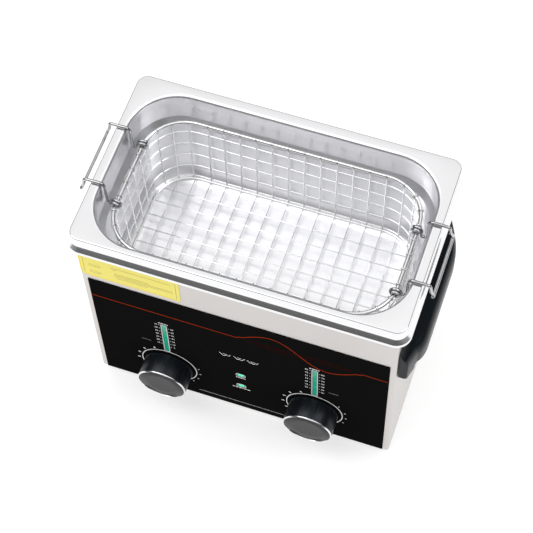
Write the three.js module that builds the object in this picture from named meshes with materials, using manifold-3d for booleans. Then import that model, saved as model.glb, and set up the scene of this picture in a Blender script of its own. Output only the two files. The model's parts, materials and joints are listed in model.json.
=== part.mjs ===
// Bench-top ultrasonic cleaner: a pressed steel tank in a folded steel casing, with a
// lift-out wire basket, two control knobs, and the drive electronics under the tank.
// Millimetres, +Z up. The origin is at the centre of the bounding box, on the table.

import * as THREE from 'three';
import { mergeVertices } from 'three/addons/utils/BufferGeometryUtils.js';
import Module from 'manifold-3d';

const wasm = await Module();
wasm.setup();

// ---------------------------------------------------------------- driving dimensions

const gap = 0.3;                  // clearance between pieces that rest on each other
const sheet = 1.2;                // thickness of the tank's steel
const skin = 1;                   // thickness of the casing's steel
const footHeight = 5;
const rim = { w: 265, d: 160, r: 12, y: 0, top: 220, lip: 17, edgeBend: 1.5 };
const flare = { out: 3.2, top: 9.9, bottom: 13.8 };  // where the lip steps outwards, below the rim
const mouth = { w: 242, d: 137.5, r: 38, y: -1.75, bend: 2.5 };
const ledge = { drop: 28.5, inset: 4.75, slope: 2.5, under: 0.6 };
const tub = { depth: 100, draft: 1, floorRadius: 12 };
const casing = { w: 250.8, d: 147.8, r: 2, bottom: footHeight, top: rim.top - sheet - 2.2 };
const front = -casing.d / 2;      // plane of the casing's front face
const rear = casing.d / 2;        // plane of the rear panel's outer face

const overlay = { w: 240.8, bottom: 5.2, top: 157.6, thick: 0.5, gap: 0.1, knobHoleR: 9 };
const label = { left: -124.6, right: -44.3, bottom: 164, top: 192, thick: 0.3 };
const controlX = 62;              // the two controls stand this far either side of the centre
const controlZ = 45;
const bar = { w: 3.8, bottom: 70, top: 114 };
const lamp = { w: 5.8, h: 3.8, r: 1.5, z: [65, 46] };

const knob = {
  r: 20.5, reach: 18.5, standOff: 1, wall: 2.2, hub: 6.5, capR: 18.2, capRecess: 1.2, bevel: 1.4,
};
const spindle = { r: 3, boreR: 3.3, bushR: 4.5 };

const basket = {
  w: 221, d: 121, r: 34, y: -2, wire: 1.5, ringZ: rim.top - 20, pitch: 13.1, taper: 2.5,
};
const meshRows = [-33, -63, -93.5].map((drop) => rim.top + drop);
const meshThick = 1.4;
const bail = { wire: 1.25, eye: 3.75, leg: 118.4, over: 135.2, barX: 138, barZ: rim.top - 12 };

const handle = {
  reach: 140.8, wall: 4, front: -71, rear: 63, bottom: 144, footBottom: 139, edge: 158, top: 178,
  footWidth: 7.4,        // how far the foot stands out from the casing
  footLength: 11,
  swell: 14,             // distance from the front at which the cup begins to swell out
  straight: [28, 39],    // distances from the front and the rear at which it runs straight
};
const cupShoulder = { in: 6, up: 13 };
const foot = { x: 108, y: 56, r: 9 };

const fan = { x: -74, z: 62, size: 60, boreR: 28, depth: 15, hubR: 12 };
const inlet = { x: 78, z: 44, halfW: 13.5, halfH: 16.5, flangeHalfW: 16, flangeHalfH: 19 };
const mainsSwitch = { x: 78, z: 92, halfW: 9.5, halfH: 6.5, flangeHalfW: 11, flangeHalfH: 8 };
const ventHalf = 1.6;             // half the width of a ventilation slot

const transducerX = 55;
const heaterPad = { w: 170, h: 56, thick: 1.5, z: 160 };
const generator = { x0: -22, x1: 62, y0: -12, y1: 60, thick: 1.6, standOff: 8 };

// the knobs reach further forward than the rim reaches back, so the body sits behind the origin
const knobFront = front - overlay.gap - overlay.thick - knob.standOff - knob.reach;
const bodyY = (-knobFront - rim.d / 2) / 2;

// ---------------------------------------------------------------- materials

const finish = (color, roughness, metalness) =>
  new THREE.MeshStandardMaterial({ color, roughness, metalness });

const steel = finish(0xd6d4d2, 0.22, 1);
const brushed = finish(0xc9c5c3, 0.38, 1);
const wireSteel = finish(0xdcdcdc, 0.12, 1);
const black = finish(0x121214, 0.3, 0);
const blackFilm = finish(0x131313, 0.35, 0);
const knobFace = finish(0x4b4b4e, 0.35, 0.8);
const yellow = finish(0xf0e478, 0.5, 0);
const green = finish(0x14a57d, 0.3, 0);
const rubber = finish(0x1c1c1c, 0.85, 0);
const plastic = finish(0x1a1a1a, 0.5, 0);
const brass = finish(0xb89a55, 0.3, 1);
const aluminium = finish(0xbfc2c6, 0.4, 1);
const ceramic = finish(0xd8cfb8, 0.5, 0);
const board = finish(0x1f6b3f, 0.5, 0);
const silicone = finish(0xc8552b, 0.7, 0);

// ---------------------------------------------------------------- shape helpers

const body = new THREE.Group();
body.position.y = bodyY;

function add(name, geometry, material, x = 0, y = 0, z = 0) {
  const mesh = new THREE.Mesh(geometry, material);
  mesh.name = name;
  mesh.position.set(x, y, z);
  body.add(mesh);
}

// a closed geometry as a manifold solid, ready to be joined or cut
function solid(geometry) {
  const bare = geometry.clone();
  bare.deleteAttribute('normal');
  bare.deleteAttribute('uv');
  const merged = mergeVertices(bare, 1e-4);
  const vertProperties = new Float32Array(merged.attributes.position.array);
  const triVerts = new Uint32Array(merged.index.array);
  return new wasm.Manifold(new wasm.Mesh({ numProp: 3, vertProperties, triVerts }));
}

function geometryOf(manifold) {
  const mesh = manifold.getMesh();
  const geometry = new THREE.BufferGeometry();
  geometry.setAttribute('position', new THREE.BufferAttribute(mesh.vertProperties, 3));
  geometry.setIndex(new THREE.BufferAttribute(mesh.triVerts, 1));
  geometry.computeVertexNormals();
  return geometry;
}

function cut(base, ...tools) {
  return geometryOf(tools.reduce((rest, tool) => rest.subtract(solid(tool)), solid(base)));
}

function join(base, ...others) {
  return geometryOf(others.reduce((sum, other) => sum.add(solid(other)), solid(base)));
}

// box between two corners
function block(x0, x1, y0, y1, z0, z1) {
  const box = new THREE.BoxGeometry(x1 - x0, y1 - y0, z1 - z0);
  return box.translate((x0 + x1) / 2, (y0 + y1) / 2, (z0 + z1) / 2);
}

// closed polygon of a rectangle w by d with round corners of radius r
function roundedPoints(w, d, r, steps = 6) {
  const corners = [[1, 1], [-1, 1], [-1, -1], [1, -1]];
  return corners.flatMap(([sx, sy], corner) =>
    Array.from({ length: steps + 1 }, (_, i) => {
      const angle = (corner + i / steps) * Math.PI / 2;
      const x = sx * (w / 2 - r) + r * Math.cos(angle);
      const y = sy * (d / 2 - r) + r * Math.sin(angle);
      return new THREE.Vector2(x, y);
    }));
}

function prism(points, z0, z1) {
  const shape = new THREE.Shape(points);
  const geometry = new THREE.ExtrudeGeometry(shape, { depth: z1 - z0, bevelEnabled: false });
  return geometry.translate(0, 0, z0);
}

const roundedPrism = (w, d, r, z0, z1, steps) => prism(roundedPoints(w, d, r, steps), z0, z1);

// solid of revolution about +Z from [radius, height] pairs
function turned(profile, segments = 20) {
  const points = profile.map(([r, h]) => new THREE.Vector2(r, h));
  return new THREE.LatheGeometry(points, segments).rotateX(Math.PI / 2);
}

// the same solid laid down, so that its axis points forward, to -Y
const forward = (geometry) => geometry.rotateX(Math.PI / 2);

function rod(r, z0, z1, segments = 20) {
  return turned([[0, z0], [r, z0], [r, z1], [0, z1]], segments);
}

// ring of rectangular section about +Z
function collar(inner, outer, z0, z1, segments = 20) {
  const profile = [[inner, z0], [outer, z0], [outer, z1], [inner, z1], [inner, z0]];
  return turned(profile, segments);
}

// round wire along a smooth curve through the points
function wireAlong(points, r, steps, sides = 8) {
  const curve = new THREE.CatmullRomCurve3(points, false, 'centripetal');
  const section = new THREE.Shape().absarc(0, 0, r, 0, 2 * Math.PI);
  const options = { steps, extrudePath: curve, curveSegments: sides / 2, bevelEnabled: false };
  return new THREE.ExtrudeGeometry(section, options);
}

// closed surface over a stack of rounded rectangles, each centred on its own y and capped at
// the first and the last
function loft(sections, steps = 5) {
  const rings = sections.map((s) => roundedPoints(s.w, s.d, s.r, steps));
  const count = rings[0].length;
  const positions = rings.flatMap((ring, k) =>
    ring.flatMap((p) => [p.x, p.y + sections[k].y, sections[k].z]));
  const index = [];
  for (let k = 0; k + 1 < rings.length; k += 1) {
    for (let i = 0; i < count; i += 1) {
      const a = k * count + i;
      const b = k * count + (i + 1) % count;
      index.push(a, b, b + count, a, b + count, a + count);
    }
  }
  const caps = THREE.ShapeUtils.triangulateShape(rings[0], []);
  const last = (rings.length - 1) * count;
  caps.forEach(([a, b, c]) => index.push(a, c, b));
  caps.forEach(([a, b, c]) => index.push(last + a, last + b, last + c));
  const geometry = new THREE.BufferGeometry();
  geometry.setAttribute('position', new THREE.Float32BufferAttribute(positions, 3));
  geometry.setIndex(index);
  geometry.computeVertexNormals();
  return geometry;
}

// a square-wire grid. us and vs are the wires' places along two directions; ends are where the
// cross wires stop; place(u, v, side) puts a point of the grid on its outer or inner face
function grid(us, vs, uEnds, vEnds, place) {
  const lines = (wires, [start, end]) => {
    const edges = wires.flatMap((at) => [at - meshThick / 2, at + meshThick / 2]);
    const open = wires.flatMap(() => [true, false]);
    const before = start < edges[0] ? [start] : [];
    const after = end > edges.at(-1) ? [end] : [];
    const strips = before.length ? [false, ...open] : open;
    return { edges: [...before, ...edges, ...after], isWire: after.length ? strips : strips.slice(0, -1) };
  };
  const u = lines(us, uEnds);
  const v = lines(vs, vEnds);
  const filled = (i, j) => Boolean(u.isWire[i] || v.isWire[j])
    && i >= 0 && j >= 0 && i < u.isWire.length && j < v.isWire.length;
  const positions = [];
  u.edges.forEach((a) => v.edges.forEach((b) => {
    positions.push(...place(a, b, 1), ...place(a, b, -1));
  }));
  const vertex = (i, j, side) => 2 * (i * v.edges.length + j) + side;
  const index = [];
  const quad = (a, b, c, d) => index.push(a, b, c, a, c, d);
  for (let i = 0; i < u.isWire.length; i += 1) {
    for (let j = 0; j < v.isWire.length; j += 1) {
      if (filled(i, j)) {
        const [a, b, c, d] = [[i, j], [i + 1, j], [i + 1, j + 1], [i, j + 1]];
        quad(vertex(...a, 0), vertex(...b, 0), vertex(...c, 0), vertex(...d, 0));
        quad(vertex(...d, 1), vertex(...c, 1), vertex(...b, 1), vertex(...a, 1));
        const sides = [[a, b, filled(i, j - 1)], [b, c, filled(i + 1, j)],
          [c, d, filled(i, j + 1)], [d, a, filled(i - 1, j)]];
        sides.filter(([, , joined]) => !joined).forEach(([from, to]) => {
          quad(vertex(...from, 0), vertex(...from, 1), vertex(...to, 1), vertex(...to, 0));
        });
      }
    }
  }
  const geometry = new THREE.BufferGeometry();
  geometry.setAttribute('position', new THREE.Float32BufferAttribute(positions, 3));
  geometry.setIndex(index);
  return geometryOf(solid(geometry.toNonIndexed()));
}

const range = (first, pitch, count) => Array.from({ length: count }, (_, i) => first + i * pitch);

// ---------------------------------------------------------------- tank and its seal

// points round a bend in the tank's wall. out is measured from the outline that the bend follows
function bend(centreOut, centreZ, radius, fromAngle, toAngle, steps = 3) {
  return range(fromAngle, (toAngle - fromAngle) / steps, steps + 1).map((angle) => (
    { out: centreOut + radius * Math.cos(angle), z: centreZ + radius * Math.sin(angle) }));
}

// the outline base, grown outwards by out, at height z
function tankSection(base, out, z) {
  const r = Math.max(base.r + out, 0.6);
  return { w: base.w + 2 * out, d: base.d + 2 * out, r, y: base.y, z };
}

function tankShell() {
  const { top, edgeBend } = rim;
  const shelfZ = top - ledge.drop;
  const floorZ = top - tub.depth;
  const turn = Math.PI / 2;
  const floorOut = -ledge.inset - tub.draft - tub.floorRadius;
  const floorBendZ = floorZ + tub.floorRadius;

  // inside, from the tub's floor up past the ledge to the mouth
  const inner = [
    ...bend(floorOut, floorBendZ, tub.floorRadius, -turn, 0),
    { out: -ledge.inset, z: shelfZ - ledge.slope },
    { out: 0, z: shelfZ + ledge.slope },
    ...bend(mouth.bend, top - mouth.bend, mouth.bend, 2 * turn, turn),
  ].map((p) => tankSection(mouth, p.out, p.z));

  // over the flange, down the lip, out over its flare to the hem, and back underneath
  const edgeOut = -flare.out - edgeBend;
  const flange = [
    ...bend(edgeOut, top - edgeBend, edgeBend, turn, 0),
    { out: -flare.out, z: top - flare.top },
    { out: 0, z: top - flare.bottom },
    { out: 0, z: top - rim.lip },
    { out: -sheet, z: top - rim.lip },
    { out: -sheet, z: top - flare.bottom - gap },
    { out: -flare.out - sheet, z: top - flare.top - gap },
    ...bend(edgeOut, top - edgeBend, edgeBend - sheet, 0, turn),
  ].map((p) => tankSection(rim, p.out, p.z));

  // outside, down to the tub's underside
  const outer = [
    { out: mouth.bend, z: top - sheet },
    { out: sheet, z: top - mouth.bend - sheet },
    { out: sheet, z: shelfZ + ledge.slope - ledge.under },
    { out: -ledge.inset + sheet, z: shelfZ - ledge.slope - ledge.under },
    ...bend(floorOut, floorBendZ, tub.floorRadius + sheet, 0, -turn),
  ].map((p) => tankSection(mouth, p.out, p.z));

  return loft([...inner, ...flange, ...outer].reverse());
}

add('tank', tankShell(), steel);

// the seal between the flange and the casing clears the tank's bend by sealClear
const sealClear = 2.8;
const sealOuter = roundedPrism(casing.w, casing.d, 6, casing.top + gap, rim.top - sheet - gap);
const sealHole = roundedPrism(mouth.w + 2 * sealClear, mouth.d + 2 * sealClear, mouth.r + sealClear,
  casing.top, rim.top).translate(0, mouth.y, 0);
add('rim_gasket', cut(sealOuter, sealHole), rubber);

// ---------------------------------------------------------------- casing

const hole = (r, x, z, y0, y1, segments = 16) =>
  forward(rod(r, -y1, -y0, segments)).translate(x, 0, z);

const windowHole = (x, y0, y1) =>
  block(x - bar.w / 2, x + bar.w / 2, y0, y1, bar.bottom, bar.top);

const lampHole = (z, y0, y1) =>
  block(-lamp.w / 2, lamp.w / 2, y0, y1, z - lamp.h / 2, z + lamp.h / 2);

// every hole that goes through the front, between two planes
function frontHoles(controlR, y0, y1) {
  return [-1, 1].flatMap((side) => [
    hole(controlR, side * controlX, controlZ, y0, y1),
    windowHole(side * controlX, y0, y1),
  ]).concat(lamp.z.map((z) => lampHole(z, y0, y1)));
}

function casingWrap() {
  const depth = casing.d - skin - gap;
  const shift = -(skin + gap) / 2;
  const outside = roundedPrism(casing.w, depth, casing.r, casing.bottom, casing.top, 3);
  const inside = roundedPrism(casing.w - 2 * skin, depth - 2 * skin, casing.r - skin, 0, rim.top, 3);
  const flangeWidth = 10;
  const half = casing.w / 2 - flangeWidth;
  const back = block(-half, half, 0, rear + 1, 0, rim.top);
  const shell = cut(outside, inside).translate(0, shift, 0);
  return cut(shell, back, ...frontHoles(spindle.bushR + gap, front - 1, front + 2 * skin));
}

add('casing_wrap', casingWrap(), brushed);

// the opening in the rear panel for the barrel of an inlet or a switch
function barrelHole({ x, z, halfW, halfH }) {
  const [w, h] = [halfW + gap, halfH + gap];
  return block(x - w, x + w, rear - 2, rear + 1, z - h, z + h);
}

function rearPanel() {
  const half = casing.w / 2 - casing.r / 2 - gap;
  const plate = block(-half, half, rear - skin, rear, casing.bottom, casing.top);
  const slotPitch = 6.5;
  const slots = range(-4, 1, 9).map((step) => {
    const x = fan.x + step * slotPitch;
    const reach = Math.sqrt(fan.boreR ** 2 - (step * slotPitch) ** 2);
    return block(x - ventHalf, x + ventHalf, rear - 2, rear + 1, fan.z - reach, fan.z + reach);
  });
  return cut(plate, ...slots, barrelHole(inlet), barrelHole(mainsSwitch));
}

add('rear_panel', rearPanel(), brushed);

const floorPlate = {
  x: casing.w / 2 - skin - gap,
  y0: front + skin + gap,
  y1: rear - 2 * skin - 2 * gap,
  z0: casing.bottom,
  z1: casing.bottom + sheet,
};

function bottomPlate() {
  const { x, y0, y1, z0, z1 } = floorPlate;
  const ventPitch = 12;
  const ventLength = 60;
  const vents = range(-3 * ventPitch, ventPitch, 7).map((at) =>
    block(at - ventHalf, at + ventHalf, -ventLength / 2, ventLength / 2, z0 - 1, z1 + 1));
  return cut(block(-x, x, y0, y1, z0, z1), ...vents);
}

add('bottom_plate', bottomPlate(), brushed);

const footTop = footHeight - gap;
const footProfile = [[0, 0], [foot.r - 1, 0], [foot.r, 1], [foot.r, footTop], [0, footTop]];
[['front_left', -1, -1], ['front_right', 1, -1], ['rear_left', -1, 1], ['rear_right', 1, 1]]
  .forEach(([corner, sx, sy]) => {
    add(`foot_${corner}`, turned(footProfile), rubber, sx * foot.x, sy * foot.y, 0);
  });

// ---------------------------------------------------------------- front panel

const overlayBack = front - overlay.gap;
const overlayFront = overlayBack - overlay.thick;

function frontOverlay() {
  const half = overlay.w / 2;
  const film = block(-half, half, overlayFront, overlayBack, overlay.bottom, overlay.top);
  return cut(film, ...frontHoles(overlay.knobHoleR, overlayFront - 1, overlayBack + 1));
}

add('front_overlay', frontOverlay(), blackFilm);

const noticeLabel = block(label.left, label.right, front - overlay.gap - label.thick, front - overlay.gap,
  label.bottom, label.top);
add('notice_label', noticeLabel, yellow);

const displayBoard = { front: front + 6, thick: 1.6, halfW: 76, stemHalfW: 22, bottom: 36, top: 117 };
const lensFront = overlayFront + 0.1;
const lensBack = displayBoard.front - gap;

[['timer_window', -1], ['temp_window', 1]].forEach(([name, side]) => {
  const x = side * controlX;
  const half = bar.w / 2 - gap;
  add(name, block(x - half, x + half, lensFront, lensBack, bar.bottom + gap, bar.top - gap), green);
});

[['power_led', lamp.z[0]], ['ultrasonic_led', lamp.z[1]]].forEach(([name, z]) => {
  const lens = roundedPrism(lamp.w - 2 * gap, lamp.h - 2 * gap, lamp.r, lensFront, lensBack, 4);
  add(name, lens.rotateX(-Math.PI / 2), green, 0, 0, z);
});

// a wide board behind both scale windows, with a stem down between the knobs for the lamps
function displayBoardShape() {
  const { halfW, stemHalfW, bottom, top } = displayBoard;
  const back = displayBoard.front + displayBoard.thick;
  const stemTop = bar.bottom;
  const wideBottom = bar.bottom - 8;
  const wide = block(-halfW, halfW, displayBoard.front, back, wideBottom, top);
  const stem = block(-stemHalfW, stemHalfW, displayBoard.front, back, bottom, stemTop);
  return join(wide, stem);
}

add('display_board', displayBoardShape(), board);

// ---------------------------------------------------------------- controls

const knobBack = overlayFront - knob.standOff;

function knobShell() {
  const { r, reach, wall, hub, capR, capRecess, bevel } = knob;
  const web = 4;
  return forward(turned([
    [spindle.boreR, 2], [hub, 2], [hub, reach - web], [r - wall, reach - web], [r - wall, 0], [r, 0],
    [r, reach - bevel], [r - bevel, reach], [capR + gap, reach], [capR + gap, reach - capRecess],
    [spindle.boreR, reach - capRecess], [spindle.boreR, 2],
  ], 32));
}

function knobCap() {
  const { reach, capR, capRecess } = knob;
  return forward(rod(capR, reach - capRecess + gap, reach - 0.1, 32));
}

function hexNut(bore, r, z0, z1) {
  return cut(rod(r, z0, z1, 6), rod(bore, z0 - 1, z1 + 1, 16));
}

// one control: the body behind the panel, its nut and spindle, and the knob with its face.
// heights along the axis are measured forward, so the panel's front face is at -front
function control(name, x) {
  const bodyDepth = 17;
  const bodyR = 12;
  const bodyBack = -(front + skin + gap + bodyDepth);
  const bodyFace = -(front + skin + gap);
  const bushFront = -front + 3;
  const spindleBack = bodyBack + 6;
  const spindleFront = -(knobBack - knob.reach + knob.capRecess + 1);
  const can = [[0, bodyBack], [bodyR, bodyBack], [bodyR, bodyFace], [spindle.bushR, bodyFace],
    [spindle.bushR, bushFront], [spindle.boreR, bushFront], [spindle.boreR, spindleBack - gap],
    [0, spindleBack - gap]];
  add(`${name}_control`, forward(turned(can)), aluminium, x, 0, controlZ);
  const nut = hexNut(spindle.bushR + gap, 6.4, -front + gap, -front + 2.4);
  add(`${name}_nut`, forward(nut), brass, x, 0, controlZ);
  add(`${name}_spindle`, forward(rod(spindle.r, spindleBack, spindleFront, 16)), brass, x, 0, controlZ);
  add(`${name}_knob`, knobShell(), black, x, knobBack, controlZ);
  add(`${name}_knob_cap`, knobCap(), knobFace, x, knobBack, controlZ);
}

control('timer', -controlX);
control('temp', controlX);

// ---------------------------------------------------------------- side handle

// a cup that the fingers reach up into: closed on top and outside, open underneath and towards
// the casing, with a solid foot at its front end
function sideHandle() {
  const side = casing.w / 2 + gap;
  const { reach, wall, front: y0, rear: y1, bottom, footBottom, footWidth, edge, top } = handle;
  const inner = reach - wall;
  const footEnd = y0 + handle.footLength;
  const [straightFrom, straightTo] = [y0 + handle.straight[0], y1 - handle.straight[1]];

  // seen from above, the cup swells out from its foot, runs straight and closes in at the rear
  const outline = new THREE.Shape();
  outline.moveTo(side, y0);
  outline.lineTo(side + footWidth - 1.4, y0);
  outline.quadraticCurveTo(side + footWidth - 0.4, y0, side + footWidth, y0 + 2);
  outline.lineTo(reach - 4.5, y0 + handle.swell);
  outline.quadraticCurveTo(reach - 0.3, y0 + handle.swell + 5, reach, straightFrom);
  outline.lineTo(reach, straightTo);
  outline.quadraticCurveTo(reach - 0.3, straightTo + 18, side + 1.3, y1 - 1);
  outline.lineTo(side, y1);

  const hollowRear = y1 - 10;
  const hollow = new THREE.Shape();
  hollow.moveTo(side - wall, footEnd + 2);
  hollow.lineTo(side + 5.3, footEnd + 2);
  hollow.quadraticCurveTo(inner - 0.5, footEnd + 5, inner, straightFrom);
  hollow.lineTo(inner, straightTo - 1);
  hollow.quadraticCurveTo(inner - 0.5, straightTo + 14, side + 2.8, hollowRear);
  hollow.lineTo(side - wall, hollowRear);

  // seen along the cup, its top falls from the casing to a soft shoulder
  const section = new THREE.Shape();
  section.moveTo(side, footBottom);
  section.lineTo(reach + 1, footBottom);
  section.lineTo(reach + 1, edge);
  section.lineTo(reach, edge);
  section.quadraticCurveTo(reach, edge + cupShoulder.up - 3, reach - cupShoulder.in, edge + cupShoulder.up);
  section.lineTo(side, top);

  const roof = edge + cupShoulder.up - wall;
  const hollowSection = new THREE.Shape();
  hollowSection.moveTo(side - wall, footBottom - 1);
  hollowSection.lineTo(inner, footBottom - 1);
  hollowSection.lineTo(inner, edge - 2);
  hollowSection.quadraticCurveTo(inner, roof - 3, inner - cupShoulder.in, roof - 0.5);
  hollowSection.lineTo(side - wall, top - wall - 2);

  // seen from the side, only the foot reaches down to its full depth
  const elevation = new THREE.Shape();
  elevation.moveTo(y0 - 1, footBottom - 1);
  elevation.lineTo(footEnd, footBottom - 1);
  elevation.lineTo(footEnd + 4, bottom);
  elevation.lineTo(y1 + 1, bottom);
  elevation.lineTo(y1 + 1, top + 1);
  elevation.lineTo(y0 - 1, top + 1);

  const extruded = (shape, depth) => new THREE.ExtrudeGeometry(shape,
    { depth, bevelEnabled: false, curveSegments: 6 });
  const height = top - footBottom + 4;
  const length = 2 * (y1 - y0);
  const plan = (shape) => solid(extruded(shape, height).translate(0, 0, footBottom - 2));
  const along = (shape) => solid(extruded(shape, length).rotateX(Math.PI / 2).translate(0, length / 2, 0));
  const across = solid(extruded(elevation, 40).rotateX(Math.PI / 2).rotateZ(Math.PI / 2)
    .translate(side - 10, 0, 0));
  const cup = plan(outline).intersect(along(section)).intersect(across);
  return geometryOf(cup.subtract(plan(hollow).intersect(along(hollowSection))));
}

add('right_handle', sideHandle(), black);

// ---------------------------------------------------------------- under the tank

const tubBottom = rim.top - tub.depth - sheet;

function transducer(side, x) {
  const top = tubBottom - gap;
  const boltR = 4.7;
  const boreR = 5;
  const front0 = top - 22;
  const stack0 = front0 - gap - 11;
  const mass0 = stack0 - gap - 18;
  const head0 = mass0 - gap - 7;
  const boltTip = top - 6;
  add(`${side}_front_mass`, turned([
    [0, boltTip + gap], [boreR, boltTip + gap], [boreR, front0], [22, front0], [29, top - 5], [29, top],
    [0, top],
  ]), aluminium, x);
  add(`${side}_piezo_stack`, collar(boreR, 19, stack0, front0 - gap), ceramic, x);
  add(`${side}_back_mass`, collar(boreR, 21, mass0, stack0 - gap), steel, x);
  const boltShape = join(rod(boltR, head0 + 3, boltTip, 12), rod(8.5, head0, mass0 - gap, 6));
  add(`${side}_bolt`, boltShape, wireSteel, x);
}

transducer('left_transducer', -transducerX);
transducer('right_transducer', transducerX);

const tubSide = mouth.d / 2 - ledge.inset + sheet + gap;
[['heater_pad_front', -1], ['heater_pad_rear', 1]].forEach(([name, sy]) => {
  const { w, h, thick, z } = heaterPad;
  const pad = roundedPrism(w, h, 4, 0, thick, 3).rotateX(Math.PI / 2);
  add(name, pad, silicone, 0, mouth.y + sy * (tubSide + thick / 2) + thick / 2, z);
});

const tubEnd = mouth.w / 2 - ledge.inset + sheet + gap;
add('temp_sensor', rod(8, 0, 5).rotateY(-Math.PI / 2), aluminium, -tubEnd, 0, 150);

const boardBottom = floorPlate.z1 + generator.standOff;
const boardTop = boardBottom + generator.thick;
add('generator_board',
  block(generator.x0, generator.x1, generator.y0, generator.y1, boardBottom, boardTop), board);

function heatsink() {
  const base = block(-20, -4, -8, 56, boardTop + gap, boardTop + 5);
  const fins = range(-19, 3.4, 5).map((x) => block(x, x + 1.4, -8, 56, boardTop + 4, boardTop + 26));
  return join(base, ...fins);
}

add('heatsink', heatsink(), aluminium);
add('output_choke', collar(7, 15, 0, 13), silicone, 22, 8, boardTop + gap);
add('smoothing_capacitor', rod(9, 0, 28), plastic, 46, 36, boardTop + gap);
add('matching_transformer', block(-14, 14, -11, 11, 0, 24), ceramic, 20, 42, boardTop + gap);

// ---------------------------------------------------------------- cooling fan

const fanFront = rear - skin - gap;

function fanFrame() {
  const { size, boreR, depth, hubR } = fan;
  const square = roundedPrism(size, size, 4, 0, depth, 3);
  const ring = cut(square, rod(boreR, -1, depth + 1, 32));
  const struts = range(0, 2 * Math.PI / 3, 3).map((angle) =>
    block(hubR - 4, boreR + 0.6, -1.5, 1.5, 0, 2).rotateZ(angle));
  return join(ring, rod(hubR, 0, 2), ...struts);
}

// each blade is a flat vane twisted about its own length
function fanRotor() {
  const { boreR, hubR } = fan;
  const twist = 0.6;
  const middle = 8;
  const blades = range(0, 2 * Math.PI / 7, 7).map((angle) =>
    block(hubR - 2, boreR - 1.2, -0.7, 0.7, -4.5, 4.5)
      .rotateX(twist).translate(0, 0, middle).rotateZ(angle));
  return join(rod(hubR, 2.6, 13.5), ...blades);
}

add('fan_frame', forward(fanFrame()), plastic, fan.x, fanFront, fan.z);
add('fan_rotor', forward(fanRotor()), plastic, fan.x, fanFront, fan.z);

// ---------------------------------------------------------------- power inlet, fuse and switch

const socketDepth = 18;
const flangeFront = rear + 2.6;

// the flange and the barrel that goes through the panel, shared by the inlet and the switch
function panelMount({ x, z, halfW, halfH, flangeHalfW, flangeHalfH }, flangeY, depth) {
  const flange = block(x - flangeHalfW, x + flangeHalfW, rear + gap, flangeY,
    z - flangeHalfH, z + flangeHalfH);
  const barrel = block(x - halfW, x + halfW, rear - depth, rear + 1, z - halfH, z + halfH);
  return join(flange, barrel);
}

function powerInlet() {
  const { x, z } = inlet;
  const pinLength = 12;
  const socket = roundedPrism(24, 16.4, 3, 0, socketDepth + 1, 2).rotateX(Math.PI / 2)
    .translate(x, flangeFront + 1, z + 6);
  const drawerSlot = block(x - 10, x + 10, flangeFront - 19, flangeFront + 1, z - 13.4, z - 5);
  const pins = [[-7, 4], [7, 4], [0, 8]].map(([dx, dz]) =>
    block(x + dx - 1, x + dx + 1, flangeFront - socketDepth - 1, flangeFront - socketDepth + pinLength,
      z + dz - 2, z + dz + 2));
  return join(cut(panelMount(inlet, flangeFront, 22), socket, drawerSlot), ...pins);
}

add('power_inlet', powerInlet(), plastic);

function fuseDrawer() {
  const { x, z } = inlet;
  const tray = block(x - 9.6, x + 9.6, flangeFront - 18.6, flangeFront + 0.8, z - 13, z - 5.4);
  const pocket = block(x - 7.4, x + 7.4, flangeFront - 16, flangeFront - 5, z - 11, z - 4);
  const pull = block(x - 4, x + 4, flangeFront + 0.5, flangeFront + 2.2, z - 6.6, z - 5.4);
  return join(cut(tray, pocket), pull);
}

add('fuse_drawer', fuseDrawer(), plastic);
add('fuse', rod(2.4, -7.1, 7.1, 12).rotateY(Math.PI / 2), ceramic,
  inlet.x, flangeFront - 10.5, inlet.z - 8.2);

const rockerPivotY = rear - 2;
const rockerTilt = THREE.MathUtils.degToRad(8);

function switchHousing() {
  const { x, z, halfW, halfH } = mainsSwitch;
  const pocketDepth = 9.5;
  const pocket = block(x - halfW + 0.8, x + halfW - 0.8, rear - pocketDepth, rear + 3,
    z - halfH + 1, z + halfH - 1);
  return cut(panelMount(mainsSwitch, rear + 2, 16), pocket);
}

// a shallow V along its length, tipping about its middle
function powerRocker() {
  const half = 7.6;
  const width = 10.4;
  const shape = new THREE.Shape();
  shape.moveTo(-half, 0);
  shape.lineTo(-3, -5);
  shape.lineTo(3, -5);
  shape.lineTo(half, 0);
  shape.lineTo(half, 5.4);
  shape.lineTo(0, 4.3);
  shape.lineTo(-half, 5.4);
  return new THREE.ExtrudeGeometry(shape, { depth: width, bevelEnabled: false })
    .translate(0, 0, -width / 2);
}

add('switch_housing', switchHousing(), plastic);
add('power_rocker', powerRocker().rotateZ(-rockerTilt), rubber, mainsSwitch.x, rockerPivotY, mainsSwitch.z);

// ---------------------------------------------------------------- basket

const cornerX = basket.w / 2 - basket.r;
const cornerY = basket.d / 2 - basket.r;
const arcLength = basket.r * Math.PI / 2;
const floorRow = meshRows.at(-1);
const inward = (z) => basket.taper * (basket.ringZ - z) / (basket.ringZ - floorRow);

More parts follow.
